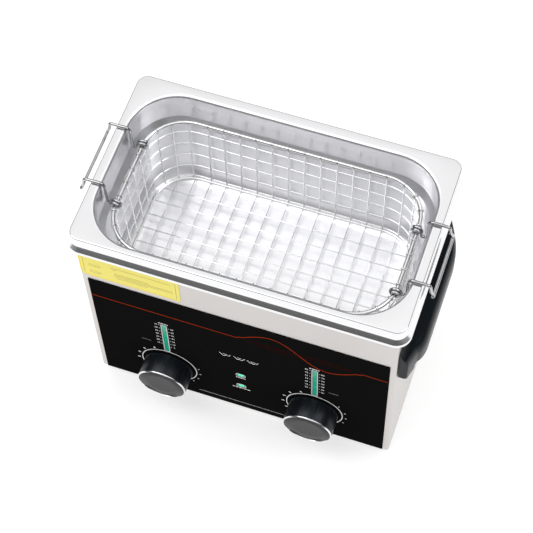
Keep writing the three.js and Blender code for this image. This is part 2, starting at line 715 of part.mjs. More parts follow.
function basketRing() {
  const { w, d, r, wire, ringZ } = basket;
  const sides = 6;
  const section = range(0, 2 * Math.PI / sides, sides).map((angle) =>
    ({ out: wire * Math.cos(angle), z: ringZ + wire * Math.sin(angle) }));
  const loops = section.map(({ out }) => roundedPoints(w + 2 * out, d + 2 * out, r + out, 7));
  const count = loops[0].length;
  const positions = [];
  for (let i = 0; i < count; i += 1) {
    section.forEach(({ z }, k) => positions.push(loops[k][i].x, loops[k][i].y, z));
  }
  const index = [];
  for (let i = 0; i < count; i += 1) {
    for (let k = 0; k < sides; k += 1) {
      const a = i * sides + k;
      const b = i * sides + (k + 1) % sides;
      const c = ((i + 1) % count) * sides + (k + 1) % sides;
      const d = ((i + 1) % count) * sides + k;
      index.push(a, c, b, a, d, c);
    }
  }
  const geometry = new THREE.BufferGeometry();
  geometry.setAttribute('position', new THREE.Float32BufferAttribute(positions, 3));
  geometry.setIndex(index);
  return geometry;
}

add('basket_rim', basketRing(), wireSteel, 0, basket.y);

const wallTop = basket.ringZ - basket.wire - gap;
const wallRows = [...meshRows].reverse();
const longWires = range(-68.6, basket.pitch, 12);
const seam = cornerX - gap / 2;

function longWall(side) {
  const place = (x, z, face) => {
    const y = side * (basket.d / 2 - inward(z)) - face * meshThick / 2;
    return [x, y, z];
  };
  return grid(longWires, wallRows, [-seam, seam], [floorRow, wallTop], place);
}

add('basket_front_mesh', longWall(-1), wireSteel, 0, basket.y);
add('basket_back_mesh', longWall(1), wireSteel, 0, basket.y);

// a point at distance s round one end of the basket, from the front seam to the back one
function roundEnd(s, side, offset) {
  const straight = 2 * cornerY;
  const r = basket.r + offset;
  if (s < arcLength) {
    const angle = s / basket.r;
    return [side * (cornerX + r * Math.sin(angle)), -cornerY - r * Math.cos(angle)];
  }
  if (s < arcLength + straight) {
    return [side * (cornerX + r), s - arcLength - cornerY];
  }
  const angle = (s - arcLength - straight) / basket.r;
  return [side * (cornerX + r * Math.cos(angle)), cornerY + r * Math.sin(angle)];
}

// the wall round one end, as a front half and a back half that part between two upright wires
function endWall(end, side, count) {
  const length = 2 * arcLength + 2 * cornerY;
  const wires = range((length - (count - 1) * basket.pitch) / 2, basket.pitch, count);
  const half = Math.floor(count / 2);
  const parting = wires[half] - basket.pitch / 2;
  const place = (s, z, face) => {
    const [x, y] = roundEnd(s, side, -inward(z) + side * face * meshThick / 2);
    return [x, y, z];
  };
  const part = (some, ends) => grid(some, wallRows, ends, [floorRow, wallTop], place);
  const frontHalf = part(wires.slice(0, half), [gap, parting - gap / 2]);
  const backHalf = part(wires.slice(half), [parting + gap / 2, length - gap]);
  add(`basket_${end}_front_mesh`, frontHalf, wireSteel, 0, basket.y);
  add(`basket_${end}_back_mesh`, backHalf, wireSteel, 0, basket.y);
}

endWall('left', -1, 12);
endWall('right', 1, 11);

function basketFloor() {
  const z = floorRow - meshThick - gap;
  const w = basket.w - 2 * basket.taper;
  const d = basket.d - 2 * basket.taper;
  const hemWidth = 1.5;
  const xs = range(-94.8, basket.pitch, 15);
  const ys = range(-3 * basket.pitch, 2 * basket.pitch, 4);
  const place = (x, y, face) => [x, y, z + face * meshThick / 2];
  const net = grid(xs, ys, [-w / 2, w / 2], [-d / 2, d / 2], place);
  const outline = roundedPrism(w, d, basket.r - basket.taper, z - 2, z + 2, 8);
  const half = meshThick / 2;
  const hem = solid(roundedPrism(w, d, basket.r - basket.taper, z - half, z + half, 8))
    .subtract(solid(roundedPrism(w - 2 * hemWidth, d - 2 * hemWidth, basket.r - basket.taper - hemWidth,
      z - 2, z + 2, 8)));
  return geometryOf(solid(net).intersect(solid(outline)).add(hem));
}

add('basket_floor', basketFloor(), wireSteel, 0, basket.y);

// a carrying bail: two eyes on the ring, legs over the rim and a bar outside it. Each leg starts
// at its eye, rises inside the tank's wall, crosses the rim and drops to the bar
function bailWire(side, hingeX, y0, y1) {
  const top = rim.top + bail.wire + gap;
  const z = basket.ringZ;
  const legPoints = [
    [hingeX + bail.eye, z + 0.4], [hingeX + bail.eye + 0.3, z - 0.9], [hingeX + bail.eye + 1.4, z - 2],
    [bail.leg - 1.1, z - 1.4], [bail.leg, z + 1.5], [bail.leg, rim.top - 6], [bail.leg + 0.5, rim.top - 1],
    [bail.leg + 3, top], [bail.leg + 8, top], [bail.over - 3, top], [bail.over - 0.6, top - 0.9],
    [bail.over, top - 3], [bail.over + 0.7, rim.top - 6], [bail.barX - 0.6, bail.barZ + 2.6],
    [bail.barX, bail.barZ],
  ];
  const leg = (y, inwards) => legPoints.map(([x, height], i) => {
    const last = i === legPoints.length - 1;
    return new THREE.Vector3(side * x, y + (last ? inwards * 2.5 : 0), height);
  });
  const path = [...leg(y0, 1), ...leg(y1, -1).reverse()];
  const eyeRing = (y) => turned(range(0, Math.PI / 3, 7).map((angle) =>
    [bail.eye + bail.wire * Math.cos(angle), bail.wire * Math.sin(angle)]), 12)
    .rotateX(Math.PI / 2).translate(side * hingeX, y, z);
  return join(wireAlong(path, bail.wire, 66, 6), eyeRing(y0), eyeRing(y1));
}

add('bail_left', bailWire(-1, basket.w / 2, -27, 25), wireSteel);
add('bail_right', bailWire(1, basket.w / 2 - 0.4, -33.5, 17.5), wireSteel);

const ultrasonicCleaner = new THREE.Group();
ultrasonicCleaner.add(body);

export default ultrasonicCleaner;
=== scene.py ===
import json
import math
import random

import bpy
from mathutils import Matrix, Vector

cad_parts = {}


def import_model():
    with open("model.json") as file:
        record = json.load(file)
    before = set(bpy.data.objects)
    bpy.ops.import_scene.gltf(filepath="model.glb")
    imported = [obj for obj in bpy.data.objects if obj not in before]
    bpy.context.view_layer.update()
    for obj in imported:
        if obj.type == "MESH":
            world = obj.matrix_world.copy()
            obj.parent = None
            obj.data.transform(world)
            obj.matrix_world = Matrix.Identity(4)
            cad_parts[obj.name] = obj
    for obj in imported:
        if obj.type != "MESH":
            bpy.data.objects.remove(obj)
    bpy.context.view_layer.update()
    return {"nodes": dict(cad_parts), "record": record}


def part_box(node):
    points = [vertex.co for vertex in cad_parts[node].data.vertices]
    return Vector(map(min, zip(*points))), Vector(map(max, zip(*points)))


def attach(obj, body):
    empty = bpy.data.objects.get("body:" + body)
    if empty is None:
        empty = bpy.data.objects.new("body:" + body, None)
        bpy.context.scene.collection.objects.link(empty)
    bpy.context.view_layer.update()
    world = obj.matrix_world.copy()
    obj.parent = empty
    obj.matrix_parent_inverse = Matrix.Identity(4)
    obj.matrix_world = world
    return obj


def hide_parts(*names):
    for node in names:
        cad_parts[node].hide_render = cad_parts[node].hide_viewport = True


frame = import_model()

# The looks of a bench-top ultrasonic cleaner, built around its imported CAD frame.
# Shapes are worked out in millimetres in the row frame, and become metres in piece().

MM = 0.001
TURN = 2 * math.pi
SOFT_EDGE = 0.25                 # bevel on the CAD nodes that stay in view
scene = bpy.context.scene


def box_mm(node):
    """The lowest and highest corners of a CAD node, in millimetres."""
    low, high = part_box(node)
    return low / MM, high / MM


# ---------------------------------------------------------------- driving dimensions

TANK_LOW, TANK_HIGH = box_mm("tank")
MIDDLE_Y = (TANK_LOW.y + TANK_HIGH.y) / 2
RIM_TOP = TANK_HIGH.z
SHEET = 1.2                      # thickness of the tank's steel
RIM = {"w": TANK_HIGH.x - TANK_LOW.x, "d": TANK_HIGH.y - TANK_LOW.y, "r": 12, "y": MIDDLE_Y}
LIP = 17                         # height of the turned-down lip
FLARE = {"out": 3.2, "top": 9.9, "bottom": 13.8}    # where the lip steps outwards, below the rim
MOUTH = {"w": 242, "d": 137.5, "r": 38, "y": MIDDLE_Y - 1.75}
MOUTH_BEND = 2.5
LEDGE_DROP = 28.5
LEDGE_INSET = 4.75
LEDGE_SLOPE = 2.5                # half the height that the ledge slopes over
TUB_DEPTH = 100                  # from the rim to the tub's floor
TUB_DRAFT = 1                    # how far the wall leans in between the ledge and the floor
FLOOR_RADIUS = 12

PANEL_LOW, PANEL_HIGH = box_mm("front_overlay")
PANEL_Y = PANEL_LOW.y            # plane that the print lies on
PRINT_THICK = 0.06
TICK_PITCH = 5.3                 # between the numbers on one side of a scale window
KNOB_LOW, KNOB_HIGH = box_mm("temp_knob")
CONTROL_X = (KNOB_LOW.x + KNOB_HIGH.x) / 2
CONTROL_Z = (KNOB_LOW.z + KNOB_HIGH.z) / 2
DIAL_RING_RADIUS = 23.5
DIAL_MARK_RADIUS = 26.6

RING_LOW, RING_HIGH = box_mm("basket_rim")
RING_WIRE = 1.5
RING_Z = (RING_LOW.z + RING_HIGH.z) / 2
BASKET = {
    "w": RING_HIGH.x - RING_LOW.x - 2 * RING_WIRE,
    "d": RING_HIGH.y - RING_LOW.y - 2 * RING_WIRE,
    "r": 34,
    "y": (RING_HIGH.y + RING_LOW.y) / 2,
}
MESH_WIRE = 0.5
MESH_PITCH = 13.1
BASKET_TAPER = 2.5
ROW_DROPS = (33, 48, 63, 78.4, 93.5)     # horizontal wires, below the rim


# ---------------------------------------------------------------- mesh helpers

class Shape:
    """Vertices in millimetres and faces, gathered before they become one mesh."""

    def __init__(self):
        self.verts = []
        self.faces = []
        self.finishes = []

    def add(self, verts, faces, finish=0):
        start = len(self.verts)
        self.verts.extend(verts)
        self.faces.extend([[start + i for i in face] for face in faces])
        self.finishes.extend([finish] * len(faces))
        return self


def piece(name, shape, materials, body, replaces=(), smooth=35):
    """One mesh object from a shape. It rides on a body and may stand for CAD nodes."""
    mesh = bpy.data.meshes.new(name)
    mesh.from_pydata([tuple(c * MM for c in v) for v in shape.verts], [], shape.faces)
    for material in materials:
        mesh.materials.append(material)
    mesh.polygons.foreach_set("material_index", shape.finishes)
    mesh.validate()
    mesh.shade_smooth()
    mesh.set_sharp_from_angle(angle=math.radians(smooth))
    obj = bpy.data.objects.new(name, mesh)
    scene.collection.objects.link(obj)
    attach(obj, body)
    if replaces:
        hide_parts(*replaces)
    return obj


def skin(rings, start_cap=True, end_cap=True, closed=False):
    """Faces over a list of rings with equal counts. Rings run anticlockwise seen from their end."""
    count = len(rings[0])
    verts = [tuple(p) for ring in rings for p in ring]
    faces = []
    last = len(rings) if closed else len(rings) - 1
    for k in range(last):
        a0 = k * count
        b0 = ((k + 1) % len(rings)) * count
        for i in range(count):
            j = (i + 1) % count
            faces.append([a0 + i, a0 + j, b0 + j, b0 + i])
    if start_cap and not closed:
        faces.append(list(reversed(range(count))))
    if end_cap and not closed:
        top = (len(rings) - 1) * count
        faces.append([top + i for i in range(count)])
    return verts, faces


def rounded(w, d, r, steps=10):
    """Points of a rounded rectangle about the origin, anticlockwise."""
    points = []
    for corner, (sx, sy) in enumerate(((1, 1), (-1, 1), (-1, -1), (1, -1))):
        for i in range(steps + 1):
            angle = (corner + i / steps) * TURN / 4
            x = sx * (w / 2 - r) + r * math.cos(angle)
            y = sy * (d / 2 - r) + r * math.sin(angle)
            points.append((x, y))
    return points


def arc(centre_out, centre_z, radius, start, end, steps=8):
    """Points (out, z) round a bend, with angles in degrees."""
    angles = [math.radians(start + (end - start) * i / steps) for i in range(steps + 1)]
    return [(centre_out + radius * math.cos(a), centre_z + radius * math.sin(a)) for a in angles]


def lathe(profile, centre, axis="-Y", segments=64):
    """Solid of revolution from (radius, height) pairs, closed on the axis or as a loop."""
    turns = {
        "Z": lambda r, h, c, s: (r * c, r * s, h),
        "-Y": lambda r, h, c, s: (r * c, -h, r * s),
        "Y": lambda r, h, c, s: (-r * c, h, r * s),
    }
    place = turns[axis]
    rings = []
    for radius, height in profile:
        ring = []
        for i in range(segments):
            angle = TURN * i / segments
            x, y, z = place(max(radius, 0.001), height, math.cos(angle), math.sin(angle))
            ring.append((x + centre[0], y + centre[1], z + centre[2]))
        rings.append(ring)
    closed = profile[0] == profile[-1]
    if closed:
        rings.pop()
    return skin(rings, closed=closed)


def tube(points, radius, sides=10, closed=False):
    """Round wire through the points. Its section is carried along without twisting."""
    path = [Vector(p) for p in points]
    count = len(path)
    tangents = []
    for i in range(count):
        before = path[i - 1] if closed or i else path[0]
        after = path[(i + 1) % count] if closed or i + 1 < count else path[-1]
        tangents.append((after - before).normalized())
    normal = tangents[0].orthogonal().normalized()
    rings = []
    for i, tangent in enumerate(tangents):
        normal = (normal - tangent * normal.dot(tangent)).normalized()
        side = tangent.cross(normal)
        ring = []
        for k in range(sides):
            angle = TURN * k / sides
            ring.append(path[i] + (normal * math.cos(angle) + side * math.sin(angle)) * radius)
        rings.append(ring)
    if closed:
        # the carried section comes back turned, so the last ring is joined where it matches best
        start = min(range(sides), key=lambda k: (rings[-1][k] - rings[0][0]).length)
        rings[-1] = rings[-1][start:] + rings[-1][:start]
    return skin(rings, closed=closed)


def smooth_path(points, steps=6):
    """A Catmull-Rom curve through the points."""
    ends = [2 * Vector(points[0]) - Vector(points[1]), 2 * Vector(points[-1]) - Vector(points[-2])]
    p = [ends[0], *[Vector(q) for q in points], ends[1]]
    out = []
    for i in range(1, len(p) - 2):
        for k in range(steps):
            t = k / steps
            a = 2 * p[i]
            b = (p[i + 1] - p[i - 1]) * t
            c = (2 * p[i - 1] - 5 * p[i] + 4 * p[i + 1] - p[i + 2]) * t * t
            d = (3 * p[i] - p[i - 1] - 3 * p[i + 1] + p[i + 2]) * t ** 3
            out.append((a + b + c + d) / 2)
    out.append(p[-2])
    return out


def slab(points, y_front, y_back):
    """Flat closed plate facing -Y. Its (x, z) points run anticlockwise seen from the front."""
    back = [(x, y_back, z) for x, z in points]
    front = [(x, y_front, z) for x, z in points]
    return skin([back, front])


def strip(points, width, y_front, y_back, closed=False):
    """Printed line of even width along (x, z) points."""
    path = [Vector(p) for p in points]
    count = len(path)
    rings = []
    for i in range(count):
        before = path[i - 1] if closed or i else path[0]
        after = path[(i + 1) % count] if closed or i + 1 < count else path[-1]
        along = (after - before).normalized()
        side = Vector((-along.y, along.x)) * width / 2
        left, right = path[i] + side, path[i] - side
        rings.append([(left.x, y_front, left.y), (right.x, y_front, right.y),
                      (right.x, y_back, right.y), (left.x, y_back, left.y)])
    return skin(rings, closed=closed)


# ---------------------------------------------------------------- materials

def node_material(name):
    material = bpy.data.materials.new(name)
    material.use_nodes = True
    shader = material.node_tree.nodes["Principled BSDF"]
    return material, material.node_tree, shader


def grain(tree, scale, stretch=(1, 1, 1), detail=4):
    """A noise pattern in object space, stretched along the directions given."""
    coordinates = tree.nodes.new("ShaderNodeTexCoord")
    mapping = tree.nodes.new("ShaderNodeMapping")
    mapping.inputs["Scale"].default_value = stretch
    noise = tree.nodes.new("ShaderNodeTexNoise")
    noise.inputs["Scale"].default_value = scale
    noise.inputs["Detail"].default_value = detail
    tree.links.new(coordinates.outputs["Object"], mapping.inputs["Vector"])
    tree.links.new(mapping.outputs["Vector"], noise.inputs["Vector"])
    return noise.outputs["Fac"]


def spread(tree, value, low, high):
    """Maps a pattern's middle range on to low to high."""
    ramp = tree.nodes.new("ShaderNodeMapRange")
    ramp.inputs["From Min"].default_value = 0.3
    ramp.inputs["From Max"].default_value = 0.7
    ramp.inputs["To Min"].default_value = low
    ramp.inputs["To Max"].default_value = high
    tree.links.new(value, ramp.inputs["Value"])
    return ramp.outputs["Result"]


def blend_colour(tree, value, dark, light):
    ramp = tree.nodes.new("ShaderNodeValToRGB")
    ramp.color_ramp.elements[0].position = 0.3
    ramp.color_ramp.elements[0].color = (*dark, 1)
    ramp.color_ramp.elements[1].position = 0.7
    ramp.color_ramp.elements[1].color = (*light, 1)
    tree.links.new(value, ramp.inputs["Fac"])
    return ramp.outputs["Color"]


def bump(tree, shader, value, distance, strength=1.0):
    node = tree.nodes.new("ShaderNodeBump")
    node.inputs["Strength"].default_value = strength
    node.inputs["Distance"].default_value = distance
    tree.links.new(value, node.inputs["Height"])
    tree.links.new(node.outputs["Normal"], shader.inputs["Normal"])


def surface(name, colour, roughness, metallic=0.0, vary=0.12, scale=300, stretch=(1, 1, 1),
            relief=0.00002, rough_vary=0.06, specular=0.5, coat=0.0):
    """A material whose colour, roughness and relief all follow one grain."""
    material, tree, shader = node_material(name)
    pattern = grain(tree, scale, stretch)
    dark = [c * (1 - vary) for c in colour]
    light = [min(1, c * (1 + vary)) for c in colour]
    tree.links.new(blend_colour(tree, pattern, dark, light), shader.inputs["Base Color"])
    rough = spread(tree, pattern, roughness - rough_vary, roughness + rough_vary)
    tree.links.new(rough, shader.inputs["Roughness"])
    bump(tree, shader, pattern, relief)
    shader.inputs["Metallic"].default_value = metallic
    shader.inputs["Specular IOR Level"].default_value = specular
    shader.inputs["Coat Weight"].default_value = coat
    return material


def flat_print(name, colour, glow=0.0):
    """Screen-printed ink, with a slight unevenness in its cover."""
    material, tree, shader = node_material(name)
    pattern = grain(tree, 2500)
    dark = [c * 0.9 for c in colour]
    tree.links.new(blend_colour(tree, pattern, dark, colour), shader.inputs["Base Color"])
    shader.inputs["Roughness"].default_value = 0.6
    shader.inputs["Specular IOR Level"].default_value = 0.0
    if glow:
        shader.inputs["Emission Color"].default_value = (*colour, 1)
        shader.inputs["Emission Strength"].default_value = glow
    return material


def lens(name, deep, bright, glow):
    """A lit lens: deeper and brighter green in uneven patches, with a soft uneven glow."""
    material, tree, shader = node_material(name)
    pattern = grain(tree, 260, detail=2)
    colour = blend_colour(tree, pattern, deep, bright)
    tree.links.new(colour, shader.inputs["Base Color"])
    tree.links.new(colour, shader.inputs["Emission Color"])
    shader.inputs["Emission Strength"].default_value = glow
    shader.inputs["Roughness"].default_value = 0.25
    return material


def spun_metal(name, colour, roughness, centre_x, centre_z, rings_per_metre=1400):
    """Turned face: fine rings about an axis along Y, as a bump and a roughness change."""
    material, tree, shader = node_material(name)
    coordinates = tree.nodes.new("ShaderNodeTexCoord")
    mapping = tree.nodes.new("ShaderNodeMapping")
    mapping.inputs["Location"].default_value = (-centre_x * MM, 0, -centre_z * MM)
    mapping.inputs["Scale"].default_value = (1, 0, 1)
    wave = tree.nodes.new("ShaderNodeTexWave")
    wave.wave_type = "RINGS"
    wave.rings_direction = "SPHERICAL"
    wave.inputs["Scale"].default_value = rings_per_metre / TURN
    wave.inputs["Distortion"].default_value = 0.6
    tree.links.new(coordinates.outputs["Object"], mapping.inputs["Vector"])
    tree.links.new(mapping.outputs["Vector"], wave.inputs["Vector"])
    pattern = wave.outputs["Fac"]
    dark = [c * 0.88 for c in colour]
    light = [c * 1.12 for c in colour]
    tree.links.new(blend_colour(tree, pattern, dark, light), shader.inputs["Base Color"])
    tree.links.new(spread(tree, pattern, roughness, roughness + 0.05), shader.inputs["Roughness"])
    bump(tree, shader, pattern, 0.00001)
    shader.inputs["Metallic"].default_value = 0.9
    return material


# Painted light: the inside of the tank is the same pressed steel as its flange. Its rougher satin
# finish is real, but its base colour is raised above the flange's, which paints in the brighter
# look of the inside.
PAINTED_BRIGHT_TUB_STEEL = surface("tub_steel_painted_light", (0.93, 0.93, 0.95), 0.30, 1, vary=0.012, scale=160,
                    stretch=(1, 8, 1), relief=0.000002, rough_vary=0.02)
TANK_STEEL = surface("tank_steel", (0.82, 0.82, 0.83), 0.13, 1, vary=0.012, scale=160,
                     stretch=(1, 8, 1), relief=0.000002, rough_vary=0.015)
CASING_STEEL = surface("casing_steel", (0.60, 0.575, 0.56), 0.36, 1, vary=0.05, scale=60,
                       stretch=(1, 1, 40), relief=0.00001, rough_vary=0.07)
WIRE_STEEL = surface("wire_steel", (0.80, 0.80, 0.80), 0.16, 1, vary=0.05, scale=500,
                     relief=0.000004, rough_vary=0.04)
# Painted shade: the bails are the same steel wire as the basket, given a darker base colour that
# paints in the dark surroundings they reflect.
PAINTED_SHADE_BAIL_STEEL = surface("bail_steel_painted_shade", (0.50, 0.50, 0.51), 0.12, 1, vary=0.05, scale=500,
                     relief=0.000004, rough_vary=0.04)
PANEL_FILM = surface("panel_film", (0.0056, 0.0056, 0.0056), 0.42, vary=0.1, scale=1800,
                     relief=0.000003, specular=0.0)
BLACK_GLOSS = surface("black_gloss", (0.008, 0.009, 0.011), 0.28, vary=0.1, scale=900,
                      relief=0.000006, specular=0.4)
HANDLE_PLASTIC = surface("handle_plastic", (0.003, 0.005, 0.007), 0.34, vary=0.1, scale=900,
                         relief=0.000004, specular=0.12)
KNOB_SIDE = surface("knob_side", (0.012, 0.016, 0.021), 0.3, 0.6, vary=0.1, scale=700,
                    stretch=(1, 0.05, 1), relief=0.000004)
KNOB_EDGE = surface("knob_edge", (0.82, 0.82, 0.82), 0.2, 1, vary=0.03, scale=900)
BLACK_PLASTIC = surface("black_plastic", (0.012, 0.012, 0.012), 0.5, vary=0.15, scale=1500,
                        relief=0.00003)
RUBBER = surface("rubber", (0.015, 0.015, 0.015), 0.8, vary=0.2, scale=800, relief=0.00005)
BRASS = surface("brass", (0.60, 0.45, 0.18), 0.3, 1, vary=0.08, scale=600)
ALUMINIUM = surface("aluminium", (0.68, 0.69, 0.71), 0.38, 1, vary=0.06, scale=500)
CERAMIC = surface("ceramic", (0.70, 0.64, 0.50), 0.45, vary=0.06, scale=700)
FERRITE = surface("ferrite", (0.05, 0.05, 0.05), 0.65, vary=0.2, scale=1200, relief=0.00004)
CIRCUIT_BOARD = surface("circuit_board", (0.02, 0.16, 0.06), 0.4, vary=0.2, scale=350)
SILICONE = surface("silicone", (0.50, 0.10, 0.03), 0.6, vary=0.12, scale=900, relief=0.00003)
LABEL_YELLOW = surface("label", (0.80, 0.71, 0.17), 0.5, vary=0.02, scale=500,
                       relief=0.000004, specular=0.1)
LABEL_INK = flat_print("label_ink", (0.42, 0.37, 0.14))
LABEL_EDGE = flat_print("label_edge", (0.90, 0.66, 0.03))
WHITE_INK = flat_print("white_ink", (0.80, 0.80, 0.80))
GREY_INK = flat_print("grey_ink", (0.20, 0.20, 0.21))
SILVER_INK = flat_print("silver_ink", (0.42, 0.42, 0.43))
ORANGE_INK = flat_print("orange_ink", (0.42, 0.035, 0.004))
DARK_RED_INK = flat_print("dark_red_ink", (0.03, 0.004, 0.002))
WINDOW_GREEN = lens("window_green", (0.004, 0.26, 0.16), (0.01, 0.36, 0.23), 0.15)
LAMP_GREEN = lens("lamp_green", (0.0, 0.60, 0.30), (0.0, 0.66, 0.36), 0.6)


# ---------------------------------------------------------------- tank

def tank():
    """The pressed tank: floor, walls, ledge, mouth, flange, shoulder and turned-down lip."""
    shelf_z = RIM_TOP - LEDGE_DROP
    floor_out = -LEDGE_INSET - TUB_DRAFT - FLOOR_RADIUS
    floor_bend_z = RIM_TOP - TUB_DEPTH + FLOOR_RADIUS
    inside = [
        *arc(floor_out, floor_bend_z, FLOOR_RADIUS, -90, 0),
        (-LEDGE_INSET, shelf_z - LEDGE_SLOPE - 0.6),
        (-LEDGE_INSET + 0.3, shelf_z - LEDGE_SLOPE + 0.2),
        (-0.3, shelf_z + LEDGE_SLOPE - 0.2), (0, shelf_z + LEDGE_SLOPE + 0.6),
        *arc(MOUTH_BEND, RIM_TOP - MOUTH_BEND, MOUTH_BEND, 180, 90, 6),
    ]
    step_out = -FLARE["out"]
    flare_top, flare_bottom = RIM_TOP - FLARE["top"], RIM_TOP - FLARE["bottom"]
    over = [
        *arc(step_out - 1, RIM_TOP - 1, 1, 90, 0, 5),
        (step_out, flare_top + 0.5), (step_out + 0.12, flare_top + 0.1),
        (step_out + 0.4, flare_top - 0.35),
        (-0.35, flare_bottom + 0.25), (-0.08, flare_bottom - 0.15), (0, flare_bottom - 0.6),
        (0, RIM_TOP - LIP + 0.4),
        (-0.4, RIM_TOP - LIP),
        (-SHEET + 0.4, RIM_TOP - LIP),
        (-SHEET, RIM_TOP - LIP + 0.4),
        (-SHEET, flare_bottom - 0.2), (step_out - SHEET, flare_top - 0.2),
        *arc(step_out - 1 - SHEET, RIM_TOP - 1 - SHEET, 1, 0, 90, 5),
    ]
    outside = [
        *arc(MOUTH_BEND, RIM_TOP - MOUTH_BEND - SHEET, MOUTH_BEND - SHEET, 90, 180, 4),
        (SHEET, shelf_z + LEDGE_SLOPE - 0.6), (-LEDGE_INSET + SHEET, shelf_z - LEDGE_SLOPE - 0.6),
        *arc(floor_out, floor_bend_z, FLOOR_RADIUS + SHEET, 0, -90),
    ]
    stack = [(MOUTH, p) for p in inside] + [(RIM, p) for p in over] + [(MOUTH, p) for p in outside]
    rings = []
    for base, (out, z) in reversed(stack):
        outline = rounded(base["w"] + 2 * out, base["d"] + 2 * out, max(base["r"] + out, 0.6), 12)
        rings.append([(x, y + base["y"], z) for x, y in outline])
    shape = Shape().add(*skin(rings))
    mouth_ring = len(rings) - len(inside)
    per_ring = len(rings[0])
    shape.finishes = [int(face // per_ring >= mouth_ring) for face in range(len(shape.faces))]
    # the inside faces take the tub steel, whose raised brightness is painted light; the rest take
    # the tank steel
    piece("tank_pressing", shape, [TANK_STEEL, PAINTED_BRIGHT_TUB_STEEL], "housing", ["tank"])


# ---------------------------------------------------------------- front panel print and label

def ink(shape, outline, finish=0, y=None):
    front = (PANEL_Y if y is None else y) - PRINT_THICK
    shape.add(*slab(outline, front, front + PRINT_THICK), finish)


def line(shape, points, width, finish=0, closed=False, y=None):
    front = (PANEL_Y if y is None else y) - PRINT_THICK
    shape.add(*strip(points, width, front, front + PRINT_THICK, closed), finish)


def rectangle(x0, x1, z0, z1):
    return [(x0, z0), (x1, z0), (x1, z1), (x0, z1)]


def words(shape, x0, x1, z, height, seed, finish=0, y=None):
    """A row of small dashes of uneven length, standing for lettering that is left out."""
    draw = random.Random(seed)
    x = x0
    while x < x1 - 0.6:
        width = min(draw.uniform(0.7, 2.6) * height, x1 - x)
        ink(shape, rectangle(x, x + width, z - height / 2, z + height / 2), finish, y)
        x += width + draw.uniform(0.25, 0.7) * height


def digits(shape, text, x, z, size, finish=0):
    """A generic number printed on the panel, centred on a point."""
    curve = bpy.data.curves.new("digits", "FONT")
    curve.body = text
    curve.size = size
    curve.align_x = "CENTER"
    curve.align_y = "CENTER"
    curve.resolution_u = 2
    curve.extrude = PRINT_THICK / 2
    source = bpy.data.objects.new("digits", curve)
    mesh = bpy.data.meshes.new_from_object(source)
    front = PANEL_Y - PRINT_THICK / 2
    verts = [(x + v.co.x, front - v.co.z, z + v.co.y) for v in mesh.vertices]
    shape.add(verts, [list(p.vertices) for p in mesh.polygons], finish)
    bpy.data.objects.remove(source)
    bpy.data.curves.remove(curve)
    bpy.data.meshes.remove(mesh)


def circle(x, z, radius, steps=72):
    return [(x + radius * math.cos(TURN * i / steps), z + radius * math.sin(TURN * i / steps))
            for i in range(steps)]


def wave_line(shape):
    """The trace across the panel: level, one long wave with a kink at each end, level again."""
    level, left, right, start, end = 132.5, PANEL_LOW.x + 0.8, PANEL_HIGH.x - 0.8, -1.5, 100
    points = [(left, level), (start, level - 0.4), (start + 2.6, level + 1.6)]
    steps = 48
    for i in range(1, steps):
        t = i / steps
        x = start + 4 + (end - start - 8) * t
        swing = math.sin(TURN * t) * (1 - 0.12 * math.cos(TURN * t))
        points.append((x, level + 1.5 * math.cos(math.pi * t) + 13 * swing))
    points += [(end - 1.5, level - 1.2), (end, level + 0.4), (right, level)]
    line(shape, points, 0.6, 1)


def wave_bars(shape):
    """Faint bars along the trace's level."""
    for k in range(40):
        x = 4.5 + 2.2 * k
        height = 1.2 + 3.4 * abs(math.sin(TURN * k / 40))
        middle = 131.5 if k < 20 else 133.5
        ink(shape, rectangle(x - 0.28, x + 0.28, middle - height, middle + height), 2)


def scale_window(shape, centre, node, first, step):
    """Frame, ticks and numbers about one scale window."""
    low, high = box_mm(node)
    for margin, width, finish in ((0.6, 0.5, 0), (1.2, 0.2, 3)):
        outline = [(low.x - margin, low.z - margin), (high.x + margin, low.z - margin),
                   (high.x + margin, high.z + margin), (low.x - margin, high.z + margin)]
        for a, b in zip(outline, outline[1:] + outline[:1]):
            line(shape, [a, b], width, finish)
    words(shape, centre - 4.4, centre + 4.4, high.z + 3.2, 1.0, 11)
    for k in range(7):
        left_z = high.z - 0.4 - TICK_PITCH * k
        right_z = left_z - TICK_PITCH / 2
        for side, z, value in ((-1, left_z, 2 * k), (1, right_z, 2 * k + 1)):
            digits(shape, str(first - step * value), centre + side * 6.6, z, 2.7)
            tick = sorted((centre + side * 3.5, centre + side * 4.4))
            ink(shape, rectangle(*tick, z - 0.2, z + 0.2))


def dial_marks(shape, centre, angles):
    """The printed ring behind a knob, and the marks round it."""
    line(shape, circle(centre, CONTROL_Z, DIAL_RING_RADIUS), 0.85, 0, closed=True)
    for angle in angles:
        a = math.radians(angle)
        along = Vector((math.cos(a), math.sin(a)))
        length = 1.1 if angle > 80 else 0.7
        middle = Vector((centre, CONTROL_Z)) + along * DIAL_MARK_RADIUS
        line(shape, [middle - along * length, middle + along * length], 1.15 * length, 0)


def wave_icon(shape, x, z, peaks):
    """A small pictogram of waves in a dish."""
    points = []
    for i in range(25):
        t = i / 24
        ripple = 0.9 * math.cos(TURN * t * peaks)
        points.append((x - 3.8 + 7.6 * t, z + ripple - 1.6 * math.sin(math.pi * t)))
    line(shape, points, 0.5)
    line(shape, [(x - 4.6, z + 1.8), (x - 3.9, z + 0.4)], 0.5)
    line(shape, [(x + 4.6, z + 1.8), (x + 3.9, z + 0.4)], 0.5)
    line(shape, [(x - 1.6, z + 1.4), (x, z + 0.5), (x + 1.6, z + 1.4)], 0.4)


def lamp_print(shape, node, half_caption, seed):
    """The outline round a lamp and the caption row under it."""
    low, high = box_mm(node)
    x, z = (low.x + high.x) / 2, (low.z + high.z) / 2
    w, h = high.x - low.x + 2.6, high.z - low.z + 1.9
    outline = [(x + px, z + pz) for px, pz in rounded(w, h, h / 2 - 0.01, 8)]
    line(shape, outline, 0.5, closed=True)
    words(shape, x - half_caption, x + half_caption, low.z - 2.8, 1.0, seed)


